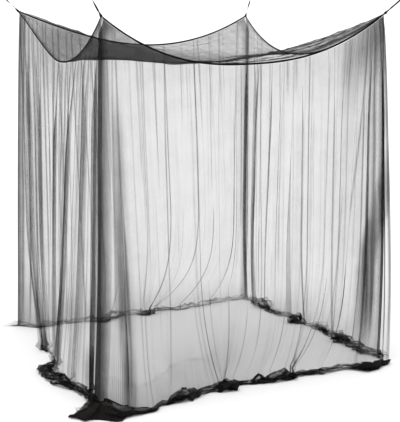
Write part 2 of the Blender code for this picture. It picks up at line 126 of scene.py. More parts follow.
# The main folds from each edge's start: place, lean and sweep along the wall, width, depth outward
FOLDS = by_side(
    Fold,
    front=(
        (0.04, -0.04, -0.03, 0.036, 0.034), (0.095, 0, 0.01, 0.05, -0.03), (0.2, -0.005, 0, 0.07, 0.026),
        (0.355, 0.005, -0.01, 0.08, -0.022), (0.535, 0.03, 0.09, 0.06, 0.036),
        (0.72, 0.01, 0.03, 0.09, -0.02), (0.87, -0.01, -0.04, 0.07, 0.028),
        (1.078, -0.005, -0.045, 0.06, 0.034), (1.24, 0.005, -0.065, 0.07, -0.024),
        (1.4, -0.03, -0.115, 0.055, 0.036), (1.51, -0.05, -0.11, 0.06, -0.026),
        (1.64, -0.13, -0.03, 0.055, 0.036), (1.715, 0.02, -0.01, 0.04, -0.03),
        (1.765, 0.08, -0.02, 0.03, 0.03),
    ),
    right=(
        (0.045, 0.01, 0.04, 0.036, 0.034), (0.12, 0.01, 0.06, 0.05, -0.03),
        (0.25, 0.015, 0.07, 0.075, 0.032), (0.43, 0.015, 0.05, 0.09, -0.026),
        (0.61, 0.01, -0.02, 0.07, 0.03), (0.8, 0.02, 0.03, 0.09, -0.024), (1.04, 0, -0.06, 0.07, 0.034),
        (1.27, 0.01, -0.03, 0.09, -0.024), (1.48, 0.01, -0.04, 0.075, 0.03),
        (1.64, -0.01, -0.06, 0.06, -0.028), (1.765, -0.02, -0.07, 0.05, 0.036),
        (1.845, -0.02, -0.06, 0.034, -0.03),
    ),
    back=(
        (0.045, -0.1, -0.005, 0.036, 0.032), (0.13, -0.07, -0.02, 0.055, -0.03),
        (0.27, -0.02, -0.03, 0.08, 0.028), (0.45, 0, 0.01, 0.08, -0.026), (0.64, 0.015, 0.03, 0.075, 0.034),
        (0.8, 0, -0.03, 0.06, -0.026), (0.935, -0.01, -0.08, 0.06, 0.03), (1.14, 0.01, -0.13, 0.06, 0.032),
        (1.36, 0.005, -0.14, 0.07, -0.026), (1.52, 0, -0.1, 0.06, 0.032), (1.64, -0.03, -0.07, 0.05, -0.03),
        (1.712, -0.04, -0.04, 0.04, 0.034),
    ),
    left=(
        (0.045, 0.005, 0.01, 0.036, 0.036), (0.12, 0.015, 0.03, 0.046, -0.032),
        (0.23, 0.03, 0.05, 0.06, 0.034), (0.34, 0.04, 0.05, 0.06, -0.03), (0.49, 0.06, 0.08, 0.075, 0.036),
        (0.67, 0.03, 0.05, 0.08, -0.03), (0.85, -0.01, 0, 0.08, 0.038), (1.06, -0.09, -0.04, 0.075, -0.032),
        (1.27, -0.15, -0.12, 0.07, 0.036), (1.46, -0.23, -0.18, 0.06, -0.034),
        (1.62, -0.31, -0.22, 0.055, 0.04), (1.76, -0.38, -0.255, 0.045, -0.034),
    ),
)

# The pile at each wall's foot, for s: where its inner line stands off the edge's line, its reach and height
PILES = {
    "front": (
        (-0.06, 0.02, 0.17, 0.07), (-0.02, 0.05, 0.21, 0.085), (0.06, 0.11, 0.22, 0.07),
        (0.14, 0.16, 0.14, 0.05), (0.25, 0.14, 0.07, 0.036), (0.42, 0.09, 0.11, 0.042),
        (0.6, 0.06, 0.05, 0.03), (0.7, 0.04, 0.09, 0.042), (0.8, 0.03, 0.115, 0.048),
        (0.88, 0.03, 0.03, 0.026), (1, 0.02, 0.065, 0.036), (1.17, 0.02, 0.09, 0.046),
        (1.32, 0.01, 0.045, 0.03), (1.46, 0.02, 0.06, 0.032), (1.62, 0.02, 0.04, 0.03),
        (1.72, 0.03, 0.11, 0.044), (1.86, 0.03, 0.05, 0.04),
    ),
    "right": (
        (0.04, 0.07, 0.06, 0.045), (0.13, 0.05, 0.07, 0.046), (0.21, 0.01, 0.08, 0.04),
        (0.33, 0, 0.09, 0.038), (0.53, 0, 0.12, 0.042), (0.66, 0.02, 0.06, 0.03), (0.87, 0.03, 0.12, 0.05),
        (0.97, 0, 0.04, 0.022), (1.05, -0.08, 0.12, 0.05), (1.16, 0.02, 0.06, 0.028),
        (1.3, -0.05, 0.08, 0.036), (1.48, -0.08, 0.1, 0.04), (1.8, -0.03, 0.06, 0.03),
    ),
    "back": (
        (-0.07, -0.13, 0.05, 0.026), (0.05, -0.24, 0.06, 0.026), (0.28, -0.22, 0.05, 0.024),
        (0.42, -0.25, 0.06, 0.028), (0.6, -0.3, 0.08, 0.034), (0.69, -0.27, 0.1, 0.048),
        (0.76, -0.16, 0.05, 0.022), (0.84, -0.26, 0.09, 0.04), (1.02, -0.24, 0.06, 0.03),
        (1.22, -0.15, 0.04, 0.024), (1.32, -0.2, 0.05, 0.028), (1.44, -0.18, 0.05, 0.026),
        (1.6, -0.12, 0.05, 0.026), (1.75, -0.08, 0.06, 0.03),
    ),
    "left": (
        (0.03, 0.05, 0.05, 0.046), (0.19, 0.06, 0.06, 0.038), (0.32, 0.08, 0.085, 0.038),
        (0.45, 0.1, 0.115, 0.038), (0.62, 0.1, 0.12, 0.036), (0.76, 0.09, 0.09, 0.028),
        (0.84, 0.05, 0.04, 0.02), (0.92, 0.03, 0.06, 0.022), (0.97, 0.01, 0.05, 0.024),
        (1.04, 0.03, 0.05, 0.045), (1.15, 0.05, 0.04, 0.04),
    ),
}


# ---- How the net looks ----
SHEER = 0.088  # the share of light that one flat layer of net stops
NET_PITCH = 0.0016  # between the threads of the mesh

# A pleat draws the cloth up at q, over half its width: dark layers of it at its top and foot_dark at its
# foot, shown from its top v to its bottom v, and drifting along the wall by lean
Pleat = namedtuple("Pleat", "q half dark foot_dark top bottom lean", defaults=(0.0, 1.0, 0.0))

# Cloth bunched at a wall's end: layers that fall off sharply past reach, dark at its top and foot_dark below
Gather = namedtuple("Gather", "reach dark foot_dark")

# Finer pleats that fill in between: about one each spacing, drawn from the side's own seed
Fill = namedtuple("Fill", "spacing half dark seed")

# Cloth gathered in soft folds too fine to tell apart, which thickens the wall about q as a pleat does
VEILS = by_side(
    Pleat,
    front=(
        (0.0775, 0.027, 2, 18, 0.2), (1.697, 0.06, 2, 23, 0.42, 0.9, -0.34), (1.61, 0.07, 6, 0, 0, 0.17),
        (1.7, 0.07, 7, 0, 0, 0.14), (1.15, 0.01, 12, 0, 0, 0.03), (1.205, 0.012, 10, 0, 0, 0.03),
    ),
    right=((0.08, 0.09, 5, 0, 0, 0.14),),
    back=(),
    left=((0.12, 0.085, 0, 17, 0.93),),
)

# The pleats listed one by one, between and on the main folds
PLEATS = by_side(
    Pleat,
    front=(
        (0.046, 0.005, 2, 4, 0.3), (0.062, 0.004, 9, 6), (0.077, 0.0045, 9, 16), (0.094, 0.004, 0, 8, 0.55),
        (0.15, 0.005, 3, 6), (0.176, 0.0035, 1, 8, 0.7), (0.2, 0.004, 7, 3, 0, 0.5),
        (0.232, 0.0045, 11, 4, 0, 0.6), (0.305, 0.004, 11, 3, 0, 0.35), (0.366, 0.004, 11, 9),
        (0.465, 0.0035, 8, 3, 0, 0.14), (0.5, 0.0035, 6, 3, 0, 0.12), (0.548, 0.004, 16, 40, 0, 1, -0.01),
        (0.5, 0.004, 2, 5, 0.72), (0.61, 0.004, 2, 6, 0.72), (0.645, 0.004, 8, 3, 0, 0.35),
        (0.7, 0.004, 4, 4, 0.1, 0.8), (0.752, 0.0035, 2, 10, 0.74), (0.845, 0.004, 10, 4, 0, 0.5),
        (0.9, 0.0035, 1, 14, 0.8), (0.95, 0.004, 9, 4, 0, 0.7), (0.97, 0.004, 12, 6, 0, 0.95, 0.03),
        (1.032, 0.004, 9, 3, 0, 0.35), (1.098, 0.004, 9, 8), (1.155, 0.0035, 1, 16, 0.78),
        (1.296, 0.004, 12, 28), (1.318, 0.004, 6, 5, 0.05, 0.6), (1.435, 0.004, 8, 5, 0.05, 0.9),
        (1.485, 0.005, 2, 28, 0.74), (1.545, 0.004, 8, 3, 0, 0.14), (1.585, 0.004, 12, 3, 0, 0.14),
        (1.64, 0.004, 3, 9, 0.5, 0.86, -0.08), (1.655, 0.004, 2, 18, 0.72),
        (1.692, 0.005, 15, 8, 0, 0.95, -0.05), (1.71, 0.006, 10, 20, 0, 0.84), (1.694, 0.005, 2, 16, 0.5),
        (1.738, 0.007, 16, 18, 0, 0.86, -0.01), (1.77, 0.006, 24, 8), (1.79, 0.005, 12, 12),
    ),
    right=(
        (0.02, 0.006, 10, 6), (0.055, 0.006, 10, 8), (0.09, 0.006, 8, 10), (0.135, 0.006, 9, 12),
        (0.2, 0.006, 7, 8), (0.29, 0.006, 4, 6), (0.395, 0.005, 8, 4), (0.455, 0.005, 6, 4),
        (0.66, 0.005, 6, 3, 0, 0.5), (0.905, 0.005, 5, 8), (1.04, 0.005, 2, 8, 0.5), (1.3, 0.006, 6, 6),
        (1.46, 0.007, 7, 5), (1.63, 0.007, 9, 7, 0, 1, -0.1), (1.7, 0.007, 9, 7, 0, 1, -0.06),
        (1.8, 0.01, 2, 3), (1.86, 0.01, 7, 8),
    ),
    back=(
        (0.022, 0.005, 18, 14), (0.05, 0.006, 20, 16), (0.08, 0.006, 8, 18), (0.106, 0.006, 7, 16),
        (0.135, 0.005, 11, 9), (0.175, 0.005, 9, 8), (0.195, 0.005, 10, 8, 0, 0.6), (0.248, 0.006, 13, 6),
        (0.288, 0.006, 13, 8), (0.345, 0.006, 8, 7, 0, 1, -0.03), (0.382, 0.006, 12, 10),
        (0.445, 0.006, 10, 7), (0.52, 0.006, 9, 7), (0.645, 0.005, 9, 9, 0, 1, -0.03),
        (0.715, 0.005, 7, 6, 0, 1, -0.02), (0.87, 0.005, 9, 4, 0, 0.45), (0.9, 0.005, 11, 7),
        (1, 0.005, 10, 3, 0, 0.35), (1.095, 0.004, 14, 34, 0, 1, -0.03), (1.235, 0.004, 5, 3, 0, 0.2),
        (1.335, 0.0035, 8, 34, 0, 1, -0.01), (1.368, 0.004, 11, 3, 0, 0.3), (1.44, 0.0035, 2, 28, 0.68),
        (1.458, 0.004, 12, 3, 0, 0.28), (1.54, 0.004, 10, 3, 0, 0.24), (1.577, 0.0035, 9, 3, 0, 0.26),
        (1.662, 0.004, 12, 8, 0.36, 0.8), (1.7, 0.0045, 12, 26, 0, 1, -0.06), (1.708, 0.005, 4, 4),
    ),
    left=(
        (0.04, 0.008, 5, 5), (0.095, 0.01, 6, 10), (0.15, 0.007, 12, 5, 0, 0.45), (0.21, 0.007, 11, 5),
        (0.3, 0.009, 15, 7), (0.435, 0.007, 9, 6), (0.49, 0.009, 16, 12), (0.595, 0.008, 11, 8),
        (0.7, 0.007, 10, 3), (0.785, 0.009, 14, 3), (0.87, 0.01, 18, 0), (0.97, 0.01, 15, 1),
        (1.125, 0.008, 8, 3, 0, 0.5), (1.22, 0.009, 8, 1), (1.29, 0.008, 6, 1), (1.355, 0.008, 6, 2),
        (1.475, 0.009, 7, 2), (1.6, 0.009, 7, 2), (1.735, 0.009, 5, 3), (1.8, 0.009, 3, 5),
        (1.86, 0.009, 4, 6),
    ),
)

# How far the lowest cloth is drawn along the wall, for q, so that the folds curve as they near the floor
BEND_FROM = 0.74
BENDS = {
    "front": (
        (0, 0), (0.06, 0), (0.1, -0.02), (0.18, 0.02), (0.4, 0), (0.56, 0.01), (0.86, -0.06), (1.15, -0.06),
        (1.3, -0.02), (1.48, -0.1), (1.64, -0.1), (1.74, 0), (1.8, 0),
    ),
    "right": ((0, 0), (1.9, 0)),
    "back": (
        (0, 0), (0.4, 0), (0.62, -0.1), (0.8, -0.04), (0.9, 0), (1, -0.04), (1.1, -0.11), (1.33, -0.22),
        (1.44, -0.19), (1.64, -0.14), (1.71, -0.05), (1.74, 0), (1.76, 0),
    ),
    "left": ((0, 0), (1, 0), (1.27, 0.06), (1.46, 0.045), (1.62, 0.025), (1.88, 0)),
}

FILLS = {
    "front": Fill(0.110, 0.004, 3.0, 11),
    "right": Fill(0.080, 0.005, 4.0, 23),
    "back": Fill(0.080, 0.004, 4.0, 37),
    "left": Fill(0.036, 0.007, 5.0, 41),
}

# Cloth bunched at a wall's two ends, where the corner draws it together
GATHERS = {
    "front": ((Gather(0.036, 14, 21), Gather(0.056, 6, 14)), (Gather(0.020, 10, 5),)),
    "right": ((Gather(0.040, 8, 5),), (Gather(0.045, 4, 4),)),
    "back": ((Gather(0.034, 10, 12),), (Gather(0.052, 7, 7),)),
    "left": ((Gather(0.060, 7, 5),), (Gather(0.034, 5, 4),)),
}

# How far the cloth's own edges are drawn round the corner, past the wall's start and end
SELVEDGES = {"front": (0.028, 0.006), "right": (0.006, 0.006), "back": (0.004, 0.046), "left": (0.042, 0.0)}

# Where the front wall's turned hem ends, as v along q
HEM_EDGE = ((0.0, 0.965), (0.30, 0.935), (0.70, 0.905))

# The cloth's usual layers along q: it hangs fuller towards the corners
FULLNESS = {
    "front": ((0, 3), (0.12, 2.8), (0.3, 2.5), (0.6, 2.4), (1.4, 2.4), (1.62, 3), (1.8, 4)),
    "right": ((0, 4.4), (0.2, 3.2), (0.5, 2.4), (1.4, 2.2), (1.7, 2.3), (1.9, 3)),
    "back": ((0, 9), (0.12, 5), (0.25, 3), (0.7, 2.3), (1.5, 2.2), (1.76, 2.6)),
    "left": ((0, 2.8), (0.12, 2), (0.6, 2), (1, 1.6), (1.88, 1)),
}

# The layers added, for q, just under the top edge, where the tape gathers it
TOP_FULLNESS = {
    "front": ((0, 0.8), (0.07, 1.6), (0.14, 0.8), (1.4, 0.8), (1.58, 2.6), (1.8, 2.6)),
    "right": ((0, 2.6), (0.35, 0.8), (1.9, 0.6)),
    "back": ((0, 0.8), (1.76, 0.8)),
    "left": ((0, 1), (0.25, 4), (1.2, 4), (1.88, 1)),
}

# The v from which a wall's foot begins
LOW_FROM = {"front": 0.80, "right": 0.72, "back": 0.80, "left": 0.60}

# The share by which each wall thins out in its lower half
SPREAD = {"front": 0.30, "right": 0.10, "back": 0.0, "left": 0.0}

# At the foot, for q: the layers added, where it gathers over its pile, and the share of its folds that stays
FOOT_FULLNESS = {
    "front": (
        (0, 2.5, 1), (0.3, 3.6, 1), (0.7, 4.4, 1), (1.4, 2.2, 1), (1.62, 1.5, 0.8), (1.7, 1, 0.35),
        (1.8, 0, 0.35),
    ),
    "right": ((0, 0, 0.35), (0.25, 0, 0.45), (0.5, 0.4, 1), (1.9, 0.4, 1)),
    "back": ((0, 2, 1), (0.6, 0.4, 1), (1.1, 0.2, 1), (1.76, 0.2, 1)),
    "left": (
        (0, 0, 1), (0.64, 0, 1), (0.76, 0, 0.35), (1.45, 0, 0.15), (1.6, 0, 0.7), (1.7, 0, 1), (1.88, 0, 1),
    ),
}

# How the foot has slumped, for s: how far its inner line has moved out, and a factor for its height
SLUMPS = {
    "front": (
        (-0.1, 0, 1.2), (0, 0.02, 0.65), (0.06, 0.05, 0.45), (0.14, 0.08, 0.5), (0.25, 0.05, 0.65),
        (0.4, 0, 1), (1.6, 0, 1), (1.8, 0, 0.7),
    ),
    "right": (
        (0, 0, 0.8), (0.2, 0, 0.6), (0.32, 0, 0.6), (0.42, 0, 1.05), (0.6, 0, 1), (0.7, 0, 0.5),
        (0.9, 0, 0.5), (1, 0, 0.8), (1.12, 0, 0.9), (1.2, 0, 0.5), (1.36, 0, 0.5), (1.48, 0, 1.4),
        (1.62, 0, 0.9), (1.9, 0, 0.7),
    ),
    "back": ((0, 0, 1), (1.76, 0, 1)),
    "left": ((0, 0, 1), (0.8, 0, 1), (0.94, 0.035, 1), (1.88, 0.035, 1)),
}

# A pile's layers along its wall, for s: at the rope where the wall drops into it, and over its body
BODIES = {
    "front": (
        (-0.1, 60, 60), (0.16, 60, 60), (0.26, 55, 34), (0.58, 50, 22), (0.66, 46, 44), (0.8, 46, 44),
        (0.88, 34, 12), (1, 42, 28), (1.3, 36, 22), (1.42, 28, 8), (1.6, 28, 9), (1.7, 44, 30),
        (1.85, 44, 30),
    ),
    "right": (
        (0, 12, 4), (0.2, 9, 3), (0.3, 14, 5), (0.4, 7, 2), (0.55, 20, 8), (0.68, 12, 3), (0.76, 24, 10),
        (0.86, 12, 3), (0.93, 2, 1), (0.99, 14, 5), (1.06, 28, 18), (1.16, 20, 8), (1.24, 5, 1.5),
        (1.4, 14, 6), (1.52, 26, 14), (1.62, 8, 2), (1.75, 7, 2), (1.85, 5, 1.5),
    ),
    "back": (
        (-0.1, 7, 1.2), (0.4, 9, 1.5), (0.5, 12, 4), (0.68, 14, 5), (0.73, 0.8, 0.5), (0.78, 0.8, 0.5),
        (0.83, 14, 6), (0.98, 12, 4), (1.1, 9, 1.2), (1.75, 8, 1.2),
    ),
    "left": (
        (0, 40, 30), (0.15, 30, 16), (0.5, 26, 6), (0.8, 22, 7), (0.9, 5, 1.5), (0.98, 8, 3), (1.06, 24, 12),
        (1.2, 24, 14),
    ),
}

# Behind the CAD pile's outer turns the cloth goes on in under itself, as (out, up) in the same shares
INNER_SECTION = (
    (0.22, 0.78), (0.52, 0.60), (0.88, 0.62), (0.76, 0.36), (0.40, 0.30), (0.24, 0.10), (0.62, 0.12),
)
SECTION_START = (0.0, 0.8)  # about where the last hanging row ends

# How far the cloth's pile stops short of the CAD pile at its wall's far end
SHORT = {"front": 0.055, "right": 0.0, "back": 0.0, "left": 0.0}

WALL_COLUMNS = 700
HANG_ROWS = 70
PILE_ROWS = 54
ROOF_COLUMNS = 150
ROOF_ROWS = 590
DENSEST = 7.0  # a fold seen edge on
SHOWN = 0.7  # the share of a fold's own doubling that its density takes up


# ---- Camera, light and floor ----
CAMERA_PLACE = Vector((-2.849, -6.652, 2.182))
CAMERA_YAW = math.radians(23.78)
CAMERA_TILT = math.radians(9.86)
FOCAL_PIXELS = 1117  # of the photograph, whose longer side is 422
PHOTO_TALL = 422
SENSOR = 36
SKY_STRENGTH = 1.25
SUN_STRENGTH = 1.1
SUN_ANGLE = math.radians(30)
SUN_TURN = (math.radians(8), math.radians(-6), 0)
FLOOR_HALF = 400
FLOOR_GREY = 0.78
NET_CROSSINGS = 96  # how many sheets of net one ray of light may pass


def add_object(data):
    made = bpy.data.objects.new(data.name, data)
    bpy.context.scene.collection.objects.link(made)
    return made


def add_camera():
    data = bpy.data.cameras.new("camera")
    data.sensor_width = SENSOR
    data.lens = FOCAL_PIXELS / PHOTO_TALL * SENSOR
    camera = add_object(data)
    camera.location = CAMERA_PLACE
    level = math.cos(CAMERA_TILT)
    ahead = Vector((math.sin(CAMERA_YAW) * level, math.cos(CAMERA_YAW) * level, -math.sin(CAMERA_TILT)))
    camera.rotation_mode = "QUATERNION"
    camera.rotation_quaternion = ahead.to_track_quat("-Z", "Y")
    bpy.context.scene.camera = camera


def add_light():
    world = bpy.data.worlds.new("studio")
    world.use_nodes = True
    background = world.node_tree.nodes["Background"]
    background.inputs["Color"].default_value = (1, 1, 1, 1)
    background.inputs["Strength"].default_value = SKY_STRENGTH
    bpy.context.scene.world = world
    data = bpy.data.lights.new("soft_key", "SUN")
    data.energy = SUN_STRENGTH
    data.angle = SUN_ANGLE
    add_object(data).rotation_euler = SUN_TURN


def add_floor():
    corners = [(x * FLOOR_HALF, y * FLOOR_HALF, 0) for x, y in ((-1, -1), (1, -1), (1, 1), (-1, 1))]
    mesh = bpy.data.meshes.new("floor")
    mesh.from_pydata(corners, [], [(0, 1, 2, 3)])
    mesh.materials.append(new_look("floor_white", (FLOOR_GREY,) * 3, 1.0, 0.0).material)
    add_object(mesh)


def set_view():
    scene = bpy.context.scene
    scene.view_settings.view_transform = "Standard"
    scene.cycles.transparent_max_bounces = NET_CROSSINGS


# ---- Places on the net's frame of edges, as in the part's source ----
def smooth(t):
    t = np.clip(t, 0.0, 1.0)
    return t * t * (3 - 2 * t)


def corner_at(name):
    corner = CORNERS[name]
    x = MIDDLE_X + corner.side_x * SPAN_X / 2 + corner.shift_x
    y = MIDDLE_Y + corner.side_y * SPAN_Y / 2 + corner.shift_y
    return Vector((x, y, CORNER_Z + corner.shift_z))


def hook_bottom(name):
    corner = CORNERS[name]
    place = corner_at(name)
    x = place.x + corner.side_x * corner.hook_x
    y = place.y + corner.side_y * corner.hook_y
    return Vector((x, y, HOOK_Z))


def cord_direction(name):
    return (hook_bottom(name) - corner_at(name)).normalized()


def line_of(edge):
    start = corner_at(edge.start)
    end = corner_at(edge.end)
    level = Vector((end.x - start.x, end.y - start.y, 0))
    outward = Vector((level.y, -level.x, 0)).normalized()
    if outward.dot(start - Vector((MIDDLE_X, MIDDLE_Y, 0))) < 0:
        outward = -outward
    return Line(start, level.normalized(), outward, level.length, end.z - start.z)


LINES = {side: line_of(edge) for side, edge in EDGES.items()}


def edge_z(side, s):
    edge = EDGES[side]
    line = LINES[side]
    share = np.clip(s / line.span, 0.0, 1.0)
    u = 2 * share - 1
    drop = edge.sag * (1 - np.abs(u) ** edge.bow) * (1 + edge.lean * u)
    return line.start.z + line.rise * share - drop


def places_on(side, s, outward, z):
    """Points s metres along an edge's line, that far outward of it and at height z."""
    line = LINES[side]
    s, outward, z = np.broadcast_arrays(s, outward, z)
    x = line.start.x + line.along.x * s + line.outward.x * outward
    y = line.start.y + line.along.y * s + line.outward.y * outward
    return np.stack([x, y, z], axis=-1)


def drifted(top, place, v):
    """Where a fold or a wall's end stands at v, from its place at the top."""
    pulled = max(0.0, (v - SWEEP_FROM) / (1 - SWEEP_FROM))
    return top + place.lean * v**LEAN_POWER + place.sweep * pulled * pulled


def fold_marks(side, v):
    """The two feet of each fold with its crest between, and the wall's two ends."""
    first, last = ENDS[side]
    places = [drifted(first.inset, first, v)]
    places += [drifted(fold.top, fold, v) for fold in FOLDS[side]]
    places.append(drifted(LINES[side].span - last.inset, last, v))
    marks = [(places[0],) * 3]
    for before, crest, after, fold in zip(places, places[1:], places[2:], FOLDS[side]):
        left = min(fold.width / 2, SHOULDER * (crest - before))
        right = min(fold.width / 2, SHOULDER * (after - crest))
        marks.append((crest - left, crest, crest + right))
    marks.append((places[-1],) * 3)
    return marks


def wall_columns(side, v):
    """The place and depth of each of the part's own columns at v."""
    top_marks = fold_marks(side, 0.0)
    marks = fold_marks(side, v)
    columns = [(marks[0][1], 0.0)]
    for k, fold in enumerate(FOLDS[side], 1):
        if top_marks[k][0] - top_marks[k - 1][2] > NARROW_GAP:
            columns.append(((marks[k - 1][2] + marks[k][0]) / 2, -BILLOW * fold.depth))
        left, crest, right = marks[k]
        columns.extend(((left, 0.0), (crest, fold.depth), (right, 0.0)))
    columns.append((marks[-1][1], 0.0))
    return np.array(columns)


def eased(x, knots, values):
    """Values read between knots with an ease in and out of each."""
    k = np.clip(np.searchsorted(knots, x, side="right") - 1, 0, len(knots) - 2)
    t = smooth((x - knots[k]) / (knots[k + 1] - knots[k]))
    return values[k] + (values[k + 1] - values[k]) * t


def table_at(rows, s):
    """The columns after the first of a table of rows, read at s, its first column."""
    knots, *columns = np.array(rows, float).T
    held = np.clip(s, knots[0], knots[-1])
    return [eased(held, knots, column) for column in columns]


# ---- Noise and meshes ----
LATTICE = 64


def noise(x, y, seed):
    """Smooth noise from -1 to 1 that changes about once each unit of x and y."""
    x, y = np.broadcast_arrays(x, y)
    values = np.random.default_rng(seed).uniform(-1, 1, (LATTICE, LATTICE))
    i = np.floor(x).astype(int)
    j = np.floor(y).astype(int)
    a = smooth(x - i)
    b = smooth(y - j)
    near = values[i % LATTICE, j % LATTICE] * (1 - b) + values[i % LATTICE, (j + 1) % LATTICE] * b
    far = values[(i + 1) % LATTICE, j % LATTICE] * (1 - b) + values[(i + 1) % LATTICE, (j + 1) % LATTICE] * b
    return near * (1 - a) + far * a


def catmull(points, count):
    """A smooth curve of count points through the given ones."""
    points = np.array(points, float)
    padded = np.vstack([2 * points[0] - points[1], points, 2 * points[-1] - points[-2]])
    at = np.linspace(0, len(points) - 1 - 1e-9, count)
    k = np.floor(at).astype(int)
    t = (at - k)[:, None]
    before, here, there, after = (padded[k + n] for n in range(4))
    return 0.5 * (
        2 * here
        + (there - before) * t
        + (2 * before - 5 * here + 4 * there - after) * t**2
        + (3 * here - before - 3 * there + after) * t**3
    )


def grid_mesh(name, points, cloth, density=None):
    """A smooth mesh through a grid of points, with its place in the cloth as its UV and its density."""
    rows, columns = points.shape[:2]
    corners = np.arange(rows * columns).reshape(rows, columns)
    upper, lower = corners[:-1], corners[1:]
    faces = np.stack([upper[:, :-1], lower[:, :-1], lower[:, 1:], upper[:, 1:]], axis=-1).reshape(-1, 4)
    mesh = bpy.data.meshes.new(name)
    mesh.from_pydata(points.reshape(-1, 3), [], faces)
    mesh.shade_smooth()
    layer = mesh.uv_layers.new(name="cloth")
    layer.data.foreach_set("uv", cloth.reshape(-1, 2)[faces.ravel()].astype(np.float32).ravel())
    if density is not None:
        attribute = mesh.attributes.new("gathering", "FLOAT", "POINT")
        attribute.data.foreach_set("value", density.astype(np.float32).ravel())
    return mesh


def add_piece(mesh, material, node):
    """The mesh as a piece of its own name, in the place of the part's node."""
    mesh.materials.append(material)
    made = add_object(mesh)
    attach(made, "root")
    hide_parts(node)
    return made


# ---- Materials ----
NET_BLACK = (0.006, 0.0056, 0.0054)
NET_TINTS = ((0.0045, 0.0042, 0.0040), (0.011, 0.0100, 0.0095))
NET_STREAKS = (170, 3.0, 1)  # for each metre of cloth: across it, down it
NET_CLOUDS = (9, 7, 1)
UNEVEN = (0.5, 0.75)  # streaks and clouds scale the layers by up to a quarter either way
THREAD_HALF = 0.11  # of the pitch
WOVEN = (0.9, 0.66)  # the layers on a thread and in a hole average to the cloth's own
TAPE_BLACK = (0.0035, 0.0034, 0.0035)
TAPE_TWILL = 0.0011
RIBBON_BLACK = (0.005, 0.0048, 0.005)
RIBBON_TWILL = 0.0009
TWILL_TURN = math.radians(35)
WEAR_AND_SHEEN = 2.6  # worn tape, and the painted sheen on its raised twill ridges, are that much lighter
WEAR_SCALE = (60, 60, 1)
ZINC = (0.62, 0.62, 0.60)
ZINC_TINTS = ((0.50, 0.50, 0.49), (0.72, 0.72, 0.70))
ZINC_GRAIN = 380
ZINC_ROUGH = (0.35, 0.18)

Look = namedtuple("Look", "material nodes links shader")


def new_look(name, colour, roughness, specular):
    made = bpy.data.materials.new(name)
    made.use_nodes = True
    shader = made.node_tree.nodes["Principled BSDF"]
    shader.inputs["Base Color"].default_value = (*colour, 1)
    shader.inputs["Roughness"].default_value = roughness
    shader.inputs["Specular IOR Level"].default_value = specular
    return Look(made, made.node_tree.nodes, made.node_tree.links, shader)


def calculated(look, operation, *inputs):
    """A Math node whose inputs are numbers or sockets; returns its output."""
    node = look.nodes.new("ShaderNodeMath")
    node.operation = operation
    for socket, value in zip(node.inputs, inputs):
        if isinstance(value, (int, float)):
            socket.default_value = value
        else:
            look.links.new(value, socket)
    return node.outputs[0]


def cloth_place(look, scale, turn=0.0):
    """The place in the cloth, in metres, times a scale for each direction."""
    uv = look.nodes.new("ShaderNodeUVMap")
    uv.uv_map = "cloth"
    mapping = look.nodes.new("ShaderNodeMapping")
    mapping.inputs["Scale"].default_value = scale
    mapping.inputs["Rotation"].default_value = (0, 0, turn)
    look.links.new(uv.outputs[0], mapping.inputs["Vector"])
    return mapping.outputs[0]


def noise_texture(look, place, scale, detail):
    texture = look.nodes.new("ShaderNodeTexNoise")
    texture.inputs["Scale"].default_value = scale
    texture.inputs["Detail"].default_value = detail
    look.links.new(place, texture.inputs["Vector"])
    return texture.outputs[0]


def tint(look, share, dark, light):
    """Colours the shader between a dark and a light tint, which are a mix node's inputs 6 and 7."""
    mix = look.nodes.new("ShaderNodeMix")
    mix.data_type = "RGBA"
    mix.inputs[6].default_value = (*dark, 1)
    mix.inputs[7].default_value = (*light, 1)
    look.links.new(share, mix.inputs[0])
    look.links.new(mix.outputs[2], look.shader.inputs["Base Color"])


def bump(look, height, strength, distance):
    node = look.nodes.new("ShaderNodeBump")
    node.inputs["Strength"].default_value = strength
    node.inputs["Distance"].default_value = distance
    look.links.new(height, node.inputs["Height"])
    look.links.new(node.outputs[0], look.shader.inputs["Normal"])


def threads(look, pitch):
    """1 on a thread and 0 in a hole of a square mesh of that pitch."""
    parts = look.nodes.new("ShaderNodeSeparateXYZ")
    look.links.new(cloth_place(look, (1 / pitch, 1 / pitch, 1)), parts.inputs[0])
    across = calculated(look, "PINGPONG", parts.outputs[0], 0.5)
    down = calculated(look, "PINGPONG", parts.outputs[1], 0.5)
    nearest = calculated(look, "MINIMUM", across, down)
    return calculated(look, "LESS_THAN", nearest, THREAD_HALF)


def net_material():
    """Sheer black net: each layer of cloth at a place stops its share of the light that is left."""
    look = new_look("net_black", NET_BLACK, 0.85, 0.05)
    attribute = look.nodes.new("ShaderNodeAttribute")
    attribute.attribute_name = "gathering"
    streaks = noise_texture(look, cloth_place(look, NET_STREAKS), 1.0, 2.0)
    clouds = noise_texture(look, cloth_place(look, NET_CLOUDS), 1.0, 3.0)
    dense = attribute.outputs["Fac"]
    for part, uneven in ((streaks, UNEVEN), (clouds, UNEVEN), (threads(look, NET_PITCH), WOVEN)):
        dense = calculated(look, "MULTIPLY", dense, calculated(look, "MULTIPLY_ADD", part, *uneven))
    through = calculated(look, "POWER", 1 - SHEER, dense)
    alpha = calculated(look, "SUBTRACT", 1.0, through)
    look.links.new(alpha, look.shader.inputs["Alpha"])
    tint(look, clouds, *NET_TINTS)
    return look.material


def tape_material(name, colour, pitch):
    """Woven tape or ribbon: a fine twill with a little wear, and painted sheen that lightens its raised
    ridges.
    """
    look = new_look(name, colour, 0.85, 0.06)
    wave = look.nodes.new("ShaderNodeTexWave")
    wave.inputs["Scale"].default_value = 0.5
    look.links.new(cloth_place(look, (1 / pitch, 1 / pitch, 1), TWILL_TURN), wave.inputs["Vector"])
    wear = noise_texture(look, cloth_place(look, WEAR_SCALE), 1.0, 4.0)
    # Painted sheen and wear: the twill's raised ridges are coloured lighter, the more so where the wear noise
    # is high
    ridge_sheen_and_wear = calculated(look, "MULTIPLY", wave.outputs[1], wear)
    tint(look, ridge_sheen_and_wear, colour, [WEAR_AND_SHEEN * part for part in colour])
    bump(look, wave.outputs[1], 0.5, 0.0004)
    return look.material


